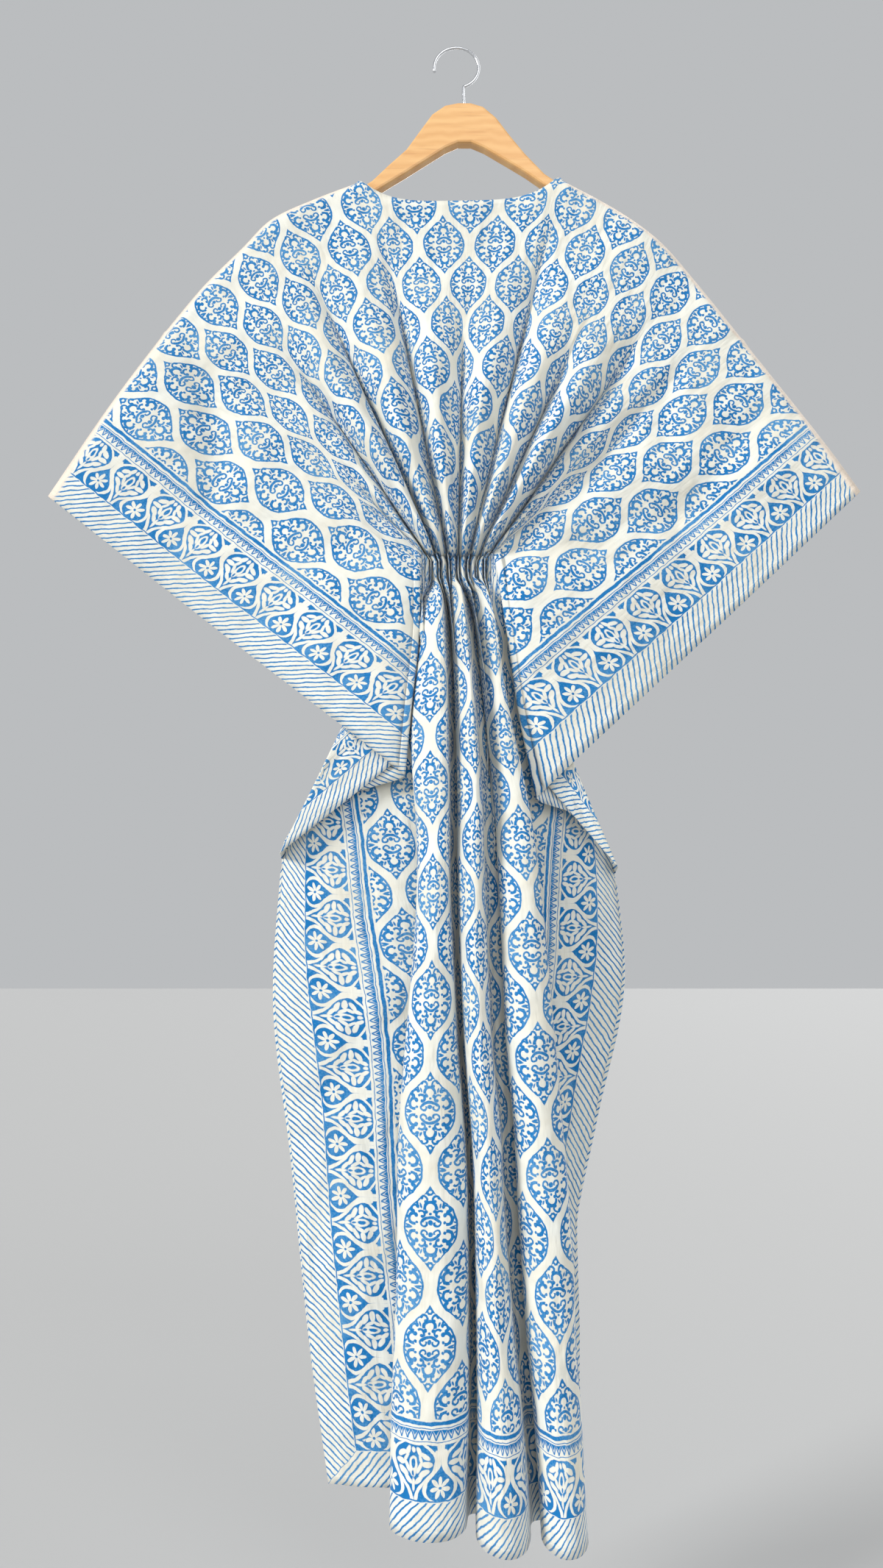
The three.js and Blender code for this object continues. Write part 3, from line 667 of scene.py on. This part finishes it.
DISCS = table("x y radius", [
    (0, 5.0, 2.1), (3.6, 14.4, 1.7), (12.2, 10.8, 1.9), (17.8, 4.0, 1.5), (12.0, 4.6, 1.3), (6.6, 10.0, 1.5),
    (15.0, 13.6, 1.7), (11.0, 18.4, 1.7), (3.6, 22.6, 1.6), (7.4, 26.2, 1.7), (0, 12.4, 1.2)])
LEAVES = table("x y long wide turn", [
    (19.4, 0.6, 3.4, 1.0, 12), (20.6, 8.6, 2.9, 1.2, 40), (17.6, 14.6, 2.9, 1.2, 50),
    (12.0, 21.6, 2.8, 1.3, 55), (21.6, 4.2, 2.2, 0.8, -30), (8.2, 19.4, 2.2, 0.9, 70)])
RIM_HALF, RIM_LEAN, RIM_UNTIL = 0.9, 0.85, 25.5
TIP_ACROSS, TIP_UP, TIP_REACH, TIP_FROM = 0.85, 0.53, 19.4, 28
TIP_HOLES = [(0, 31, 1.2), (3.1, 27.9, 1.4)]


def medallion(place, x, y):
    """Distance to the blue of a quarter of a medallion."""
    side = y.curve(MEDALLION, MEDALLION_SPAN, MEDALLION_SPAN)
    blue = (abs(x - side + RIM_HALF) * RIM_LEAN - RIM_HALF).most(y - RIM_UNTIL)
    for cx, cy, radius, half, cut_x, cut_y, cut in zip(*ARCS.values()):
        ring = abs(place.away(cx, cy) - radius) - half
        level = cut_x * cx + cut_y * cy + cut
        beside = place.vector("DOT_PRODUCT", place, (cut_x, cut_y, 0), output=1) - level
        blue = blue.least(ring.most(beside))
    for cx, cy, radius in zip(*DISCS.values()):
        blue = blue.least(place.away(cx, cy) - radius)
    blue = blue.least(leaves(place, LEAVES))
    tip = (x * TIP_ACROSS + y * TIP_UP - TIP_REACH).most(TIP_FROM - y)
    for cx, cy, radius in TIP_HOLES:
        tip = tip.most(radius - place.away(cx, cy))
    return blue.most(x - side).least(tip)

# %% Shapes of the border, in millimetres from the edge of the cloth
STRIPE_PITCH, STRIPE_WIDE, STRIPE_LEAN, STRIPES_END = 7.2, 2.2, 0.75, 31
FLORAL_START, FLORAL_END, CELL_PITCH, CELL_SPAN = 32, 77, 49, 50
TOOTH_PITCH, TOOTH_WIDE, TOOTH_HALF = 6.4, 0.8, 0.55
TEETH_START, TEETH_LEAN, TEETH_BASE, BASE_LEAN, TEETH_END = 81, 0.34, 84.5, 0.5, 89
LINES = [(32.2, 0.6), (79.6, 0.35), (90.4, 0.4), (94.6, 1.7)]
BORDER_END = 97
RIBBON_HALF = 1.7
FLOWER_AT, PETAL_TURNS, PETAL_LONG, FLOWER_HEART, FLOWER_EYE = 11, 3.5, 7.4, 2.0, 1.3
LOBE_BESIDE, LOBE_AT, LOBE_FLAT, LOBE_RADIUS = 3.8, 37, 0.6, 2.6
FLOWER_CELL = [(0, 1), (2, 8), (7, 12.2), (12, 12.2), (18, 8.4), (23, 4), (28, 0.4), (32, 0), (45, 0)]
PALMETTE_CELL = [(0, 0), (3, 0.6), (9, 3), (15, 7.4), (22, 14.6), (29, 18.4), (35, 18.4),
                 (41, 13.5), (45, 8)]
PALMETTE_LEAVES = table("x y long wide turn", [
    (0, 12.5, 5.5, 1.3, 90), (4.6, 17.0, 5.4, 1.9, 48), (9.6, 22.6, 5.4, 2.3, 30),
    (12.4, 29.4, 4.8, 2.4, 4), (10.6, 36.0, 4.8, 2.2, -34), (5.0, 39.6, 4.4, 2.0, -66),
    (0, 27.5, 8.6, 3.6, 90), (5.8, 27.0, 5.4, 1.6, 62), (6.4, 33.2, 4.2, 1.5, 118),
    (0, 41.0, 2.4, 1.6, 90)])
PALMETTE_DROP = table("x y long wide turn", [(0, 29.5, 4.0, 1.7, 90), (0, 21.6, 2.2, 1.0, 90)])


def leaves(place, rows):
    """Distance to the nearest of some leaves, each an ellipse with its own turn."""
    nearest = None
    for cx, cy, long, wide, turn in zip(*rows.values()):
        turned = place.node("ShaderNodeMapping", {"vector_type": "TEXTURE"}, {
            "Vector": place, "Location": (cx, cy, 0), "Rotation": (0, 0, math.radians(turn)),
            "Scale": (long, wide, 1)})
        leaf = (turned.vector("LENGTH", turned, output=1) - 1) * wide
        nearest = leaf if nearest is None else nearest.least(leaf)
    return nearest


def floral(along, deep):
    """Distance to the blue of the floral band; deep is the distance from its outer line."""
    by_flower = along.folded(CELL_PITCH)
    by_palmette = CELL_PITCH / 2 - by_flower
    edges = [by_flower - deep.curve(FLOWER_CELL, CELL_SPAN, CELL_SPAN),
             by_palmette - deep.curve(PALMETTE_CELL, CELL_SPAN, CELL_SPAN)]
    ribbon, other = (abs(edge - RIBBON_HALF) - RIBBON_HALF for edge in edges)
    radius, turn = polar(by_flower, deep - FLOWER_AT)
    petals = abs(turn.math("COSINE", turn * PETAL_TURNS))
    flower = (radius - (petals * PETAL_LONG + FLOWER_HEART)).most(FLOWER_EYE - radius)
    place = along.node("ShaderNodeCombineXYZ", {}, {0: by_palmette, 1: deep})
    palmette = leaves(place, PALMETTE_LEAVES).most(-1 * leaves(place, PALMETTE_DROP))
    lobe, _ = polar(by_flower - LOBE_BESIDE, (deep - LOBE_AT) * LOBE_FLAT)
    light = ribbon.least(other).least(flower).least(palmette).least(lobe - LOBE_RADIUS)
    return -1 * light


def polar(x, y):
    """Distance from the middle, and the turn from straight up."""
    radius = x.math("SQRT", x * x + y * y)
    return radius, x.math("ARCTAN2", x, y)


def border(edge, along, lean):
    """Distance to the blue of the whole border."""
    stripes = ((along + edge * lean).folded(STRIPE_PITCH) - STRIPE_WIDE / 2) * STRIPE_LEAN
    blossoms = floral(along, edge - FLORAL_START).most(FLORAL_START - edge).most(edge - FLORAL_END)
    tooth = along.folded(TOOTH_PITCH) * TOOTH_WIDE
    teeth = abs(tooth - (edge - TEETH_START) * TEETH_LEAN) - TOOTH_HALF
    teeth = teeth.least(tooth - (edge - TEETH_BASE) * BASE_LEAN)
    teeth = teeth.most(TEETH_START - edge).most(edge - TEETH_END)
    blue = stripes.most(edge - STRIPES_END).least(blossoms).least(teeth)
    for middle, half in LINES:
        blue = blue.least(abs(edge - middle) - half)
    return blue

# %% Colours and sizes of the printed cotton
INK, INK_WORN, PEACH = linear(0, 110, 174), linear(44, 146, 200), linear(232, 217, 200)
GROUND, GROUND_AGED = linear(226, 227, 219), linear(222, 216, 198)
SHAKE, SHAKE_SCALE, BORDER_SOFT = 2.6, 0.09, 0.4
MARGIN, MARGIN_SOFT, MARGIN_BESIDE = 8, 3, 10
WORN_SCALE, WORN_FROM, WORN_GAIN, AGED_GAIN, AGED_FROM = 0.021, 0.4, 1.6, 1.6, -0.4
SPECK_SCALE, SPECK_GAIN, INK_THINS = 0.5, 0.9, 0.18
CREASE_SCALE, CREASE_HIGH, BROAD_SCALE, BROAD_HIGH = (0.05, 0.011, 1), 4.6, 0.013, 16
THREAD_PITCH, WEAVE_HIGH = 0.9, 0.05
TURN_AT, TURN_SOFT, TURN_HIGH = 8, 1.2, 0.35
STITCH_HALF, STITCH_SOFT, STITCH_PITCH, STITCH_GAP, STITCH_DEEP = 0.7, 0.6, 3.2, 0.7, -0.8


def cloud(place, scale, detail, output=0):
    """Soft noise over the flat cloth."""
    sockets = {"Vector": place, "Scale": scale, "Detail": detail}
    return place.node("ShaderNodeTexNoise", {"noise_dimensions": "2D"}, sockets, output)

# %% The whole print
def lattice(across, down):
    """Distance to the blue of the field: two sets of medallions, half a step apart."""
    half_across, half_down = PERIOD_ACROSS / 2, PERIOD_DOWN / 2
    x, y = (across - SHIFT_ACROSS).folded(PERIOD_ACROSS), (down - SHIFT_DOWN).folded(PERIOD_DOWN)
    other = (x / half_across + y / half_down).over(1)
    x, y = abs(other * half_across - x), abs(other * half_down - y)
    return medallion(across.node("ShaderNodeCombineXYZ", {}, {0: x, 1: y}), x, y)


def block_print(flat):
    """How blue each place is, how bare its margin, and its distances from and along the edge."""
    wobble = cloud(flat, SHAKE_SCALE, 3.0, 1)
    nudge = wobble.vector("MULTIPLY_ADD", wobble, (SHAKE, SHAKE, 0), (-SHAKE / 2, -SHAKE / 2, 0))
    across, down = flat.vector("ADD", flat, nudge).parts()
    across = across - HALF_WIDTH
    side_edge, hem_edge = HALF_WIDTH - abs(across), LENGTH - down
    by_hem = (side_edge - hem_edge).over(0)
    edge = side_edge.least(hem_edge)
    along = by_hem * across + (1 - by_hem) * down
    lean = (1 - by_hem) * (2 * across.over(0) - 1) - by_hem
    in_border = (edge - BORDER_END).mask(BORDER_SOFT)
    field = lattice(across, down).most(BORDER_END + 1 - edge)
    blue = in_border * border(edge, along, lean).mask() + (1 - in_border) * field.mask()
    slope = SHOULDER_DROP / (HALF_WIDTH - NECK_HALF)
    seam = down - (abs(across) - NECK_HALF) * slope
    bare = (seam - MARGIN).mask(MARGIN_SOFT) * abs(across).over(NECK_HALF + MARGIN_BESIDE)
    return blue * (1 - bare), bare, edge, along

# %% The relief of the cloth
def cloth_height(flat, edge, along):
    """Creases, weave and the stitched turn of the hem, for the bump."""
    crease = flat.node("ShaderNodeMapping", {}, {"Vector": flat, "Scale": CREASE_SCALE})
    weave = flat.scaled(2 * math.pi / THREAD_PITCH)
    warp, weft = weave.vector("SINE", weave).parts()
    stitch = (abs(edge - TURN_AT) - STITCH_HALF).mask(STITCH_SOFT)
    stitch = stitch * along.folded(STITCH_PITCH).over(STITCH_GAP)
    turned = (edge - TURN_AT).mask(TURN_SOFT) + stitch * STITCH_DEEP
    folds = cloud(crease, 1.0, 4.0) * CREASE_HIGH + cloud(flat, BROAD_SCALE, 3.0) * BROAD_HIGH
    return folds + warp * weft * WEAVE_HIGH + turned * TURN_HIGH

# %% The cotton's finish
def printed_cotton():
    material, wire, shader = finish("block_printed_cotton", {
        "Roughness": 0.78, "Specular IOR Level": 0.3, "Sheen Weight": 0.2, "Sheen Roughness": 0.4})
    flat = wire.node("ShaderNodeUVMap", {"uv_map": "cloth"}, {}).scaled(UV_SPAN)
    blue, bare, edge, along = block_print(flat)
    worn, speck = cloud(flat, WORN_SCALE, 4.0), cloud(flat, SPECK_SCALE, 2.0)
    fading = (worn - WORN_FROM) * WORN_GAIN
    faint = worn.math("ADD", fading, (speck - 0.5) * SPECK_GAIN, clamp=True)
    ink = faint.blend((*INK, 1), (*INK_WORN, 1))
    aged = worn.math("MULTIPLY_ADD", worn, AGED_GAIN, AGED_FROM, clamp=True)
    ground = bare.blend(aged.blend((*GROUND, 1), (*GROUND_AGED, 1)), (*PEACH, 1))
    connect((blue * (1 - faint * INK_THINS)).blend(ground, ink), shader, "Base Color")
    bump = wire.node("ShaderNodeBump", {}, {
        "Strength": 0.7, "Distance": 1.0 * MM, "Height": cloth_height(flat, edge, along)})
    connect(bump, shader, "Normal")
    return material


cotton = printed_cotton()
for piece in (back_panel, front_panel):
    piece.data.materials.append(cotton)
print("cotton nodes", len(cotton.node_tree.nodes))

# %% [markdown]
# ## The hanger
# The bar is pale varnished wood, cut along the grain, so its rings run as long streaks from end to end and
# bend a little at the middle. Its node keeps its own mesh and only gets this finish. The hook's node is
# a many-sided wire, so a round one is swept along the same line: bright plated steel.

# %% Varnished wood
WOOD_LIGHT, WOOD_DARK, WOOD_PORE = linear(236, 190, 128), linear(214, 156, 92), linear(176, 118, 64)
GRAIN_SHARE, GRAIN_ROUGHER, WOOD_ROUGH = 0.65, 0.16, 0.3
PORE_GAIN, PORE_FROM, PORE_SHARE = 6.0, -3.5, 0.35


def varnished_wood():
    material, wire, shader = finish("pale_varnished_wood", {
        "Coat Weight": 0.35, "Coat Roughness": 0.18, "Specular IOR Level": 0.45})
    place = wire.node("ShaderNodeTexCoord", {}, {}, 3)
    stretched = wire.node("ShaderNodeMapping", {}, {"Vector": place, "Scale": (7, 60, 90)})
    grain = wire.node("ShaderNodeTexNoise", {}, {
        "Vector": stretched, "Scale": 1.0, "Detail": 6.0, "Distortion": 0.6})
    rings = wire.node("ShaderNodeTexWave", {"bands_direction": "Z"}, {
        "Vector": place, "Scale": 26.0, "Distortion": 7.0, "Detail": 3.0, "Detail Scale": 0.7}, 1)
    streak = wire.node("ShaderNodeMapping", {}, {"Vector": place, "Scale": (24, 420, 620)})
    pore = wire.node("ShaderNodeTexNoise", {}, {"Vector": streak, "Scale": 1.0, "Detail": 3.0})
    figure = grain * GRAIN_SHARE + rings * (1 - GRAIN_SHARE)
    tone = figure.blend((*WOOD_DARK, 1), (*WOOD_LIGHT, 1))
    pores = pore.math("MULTIPLY_ADD", pore, PORE_GAIN, PORE_FROM, clamp=True) * PORE_SHARE
    connect(pores.blend(tone, (*WOOD_PORE, 1)), shader, "Base Color")
    connect(grain * GRAIN_ROUGHER + WOOD_ROUGH, shader, "Roughness")
    bump = wire.node("ShaderNodeBump", {}, {
        "Strength": 0.25, "Distance": 0.4 * MM, "Height": grain - pores})
    connect(bump, shader, "Normal")
    return material


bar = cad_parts["hanger_bar"]
bar.data.materials.clear()
bar.data.materials.append(varnished_wood())

# %% The wire hook, swept round
WIRE, HOOK_RADIUS, HOOK_LEAN, STEM_END = 3.2, 23, 8, -69.4
STEM_SHARE, STEM_IN, STEM_BOW, STEM_TOP, HOOK_FROM, HOOK_TO = 0.26, 0.6, 2, 1.85, -1.25, 3.35
STEEL_DARK, STEEL_LIGHT = (0.50, 0.51, 0.53, 1), (0.80, 0.81, 0.83, 1)
HAZE_ROUGHER, STEEL_ROUGH = 0.2, 0.08


def hook_point(part):
    """A point of the wire's middle line: up the slightly bowed stem, then round the hook."""
    middle = HOOK_RADIUS + WIRE / 2
    if part < STEM_SHARE:
        rise = part / STEM_SHARE
        x = HOOK_LEAN + (1 - rise) * STEM_IN - STEM_BOW * rise * (1 - rise)
        return Vector((x, 0, mix(STEM_END, -middle * STEM_TOP, rise))) * MM
    angle = mix(HOOK_FROM, HOOK_TO, (part - STEM_SHARE) / (1 - STEM_SHARE))
    return Vector((math.cos(angle) * middle, 0, math.sin(angle) * middle - HOOK_RADIUS)) * MM


def bright_steel():
    material, wire, shader = finish("bright_plated_steel", {"Metallic": 1.0})
    place = wire.node("ShaderNodeTexCoord", {}, {}, 3)
    haze = wire.node("ShaderNodeTexNoise", {}, {"Vector": place, "Scale": 260.0, "Detail": 3.0})
    connect(haze.blend(STEEL_DARK, STEEL_LIGHT), shader, "Base Color")
    connect(haze * HAZE_ROUGHER + STEEL_ROUGH, shader, "Roughness")
    return material


def wire_hook(rings=120, sides=16):
    """A circle, extruded ring by ring along the wire's middle line."""
    bm = bmesh.new()
    points = [hook_point(part) for part in np.linspace(0, 1, rings)]
    loop = bmesh.ops.create_circle(bm, segments=sides, radius=WIRE / 2 * MM)["verts"]
    previous = Vector((0, 0, 1))
    at = Vector((0, 0, 0))
    for index, point in enumerate(points):
        ahead = points[min(index + 1, rings - 1)] - points[max(index - 1, 0)]
        if index:
            edges = [edge for edge in bm.edges if edge.verts[0] in ring and edge.verts[1] in ring]
            made = bmesh.ops.extrude_edge_only(bm, edges=edges)["geom"]
            loop = [item for item in made if isinstance(item, bmesh.types.BMVert)]
        turn = previous.rotation_difference(ahead.normalized()).to_matrix()
        bmesh.ops.translate(bm, verts=loop, vec=-at)
        bmesh.ops.rotate(bm, verts=loop, cent=(0, 0, 0), matrix=turn)
        bmesh.ops.translate(bm, verts=loop, vec=point)
        previous, at, ring = ahead.normalized(), point, set(loop)
    bmesh.ops.holes_fill(bm, edges=bm.edges, sides=sides)
    bmesh.ops.recalc_face_normals(bm, faces=bm.faces)
    for face in bm.faces:
        face.smooth = len(face.verts) == 4
    mesh = bpy.data.meshes.new("wire_hook")
    bm.to_mesh(mesh)
    bm.free()
    piece = bpy.data.objects.new("wire_hook", mesh)
    SCENE.collection.objects.link(piece)
    mesh.materials.append(bright_steel())
    return piece


hook = wire_hook()
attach(hook, "root")
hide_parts("hanger_hook")
print("hook", len(hook.data.polygons), "faces")

# %% The camera, at the photo's angle
CAMERA_PLACE, CAMERA_RISE = (-0.0163, -1.2, -1.0138), 9
SENSOR, LENS_ROWS, FRAME_ROWS = 36, 1650, 2132
camera_data = bpy.data.cameras.new("camera")
camera = bpy.data.objects.new("camera", camera_data)
SCENE.collection.objects.link(camera)
SCENE.camera = camera
camera_data.sensor_width = SENSOR
camera_data.lens = SENSOR * LENS_ROWS / FRAME_ROWS
camera.location = CAMERA_PLACE
camera.rotation_euler = (math.radians(90 + CAMERA_RISE), 0, 0)

# %% Light and floor
SUNS = [("key", (-2.6, -1.6, 0.5), 2.6, 18), ("fill", (0.9, -2.6, 0.2), 1.1, 50),
        ("behind", (1.2, 2.4, 0.9), 1.6, 50)]
AIM, SKY, SKY_STRENGTH = (0, 0, -0.8), (0.80, 0.82, 0.84, 1), 0.62
FLOOR_HALF, FLOOR_LEVEL, FLOOR_GREY, FLOOR_ROUGH = 60, -1.62, (0.44, 0.44, 0.435, 1), 0.8


def soft_sun(name, place, strength, spread):
    """Even light from one side: it comes from the given place towards the middle of the garment."""
    data = bpy.data.lights.new(name, "SUN")
    data.energy, data.angle = strength, math.radians(spread)
    lamp = bpy.data.objects.new(name, data)
    SCENE.collection.objects.link(lamp)
    lamp.location = place
    lamp.rotation_euler = (Vector(AIM) - Vector(place)).to_track_quat("-Z", "Y").to_euler()


for sun in SUNS:
    soft_sun(*sun)
SCENE.world = bpy.data.worlds.new("studio")
SCENE.world.use_nodes = True
sky = SCENE.world.node_tree.nodes["Background"].inputs
sky["Color"].default_value, sky["Strength"].default_value = SKY, SKY_STRENGTH
SCENE.view_settings.view_transform = "Standard"

floor_mesh = bpy.data.meshes.new("floor")
bm = bmesh.new()
bmesh.ops.create_grid(bm, x_segments=1, y_segments=1, size=FLOOR_HALF)
bmesh.ops.translate(bm, verts=bm.verts, vec=(0, 0, FLOOR_LEVEL))
bm.to_mesh(floor_mesh)
bm.free()
floor = bpy.data.objects.new("floor", floor_mesh)
SCENE.collection.objects.link(floor)
floor_finish, _, _ = finish("pale_floor", {"Base Color": FLOOR_GREY, "Roughness": FLOOR_ROUGH})
floor_mesh.materials.append(floor_finish)
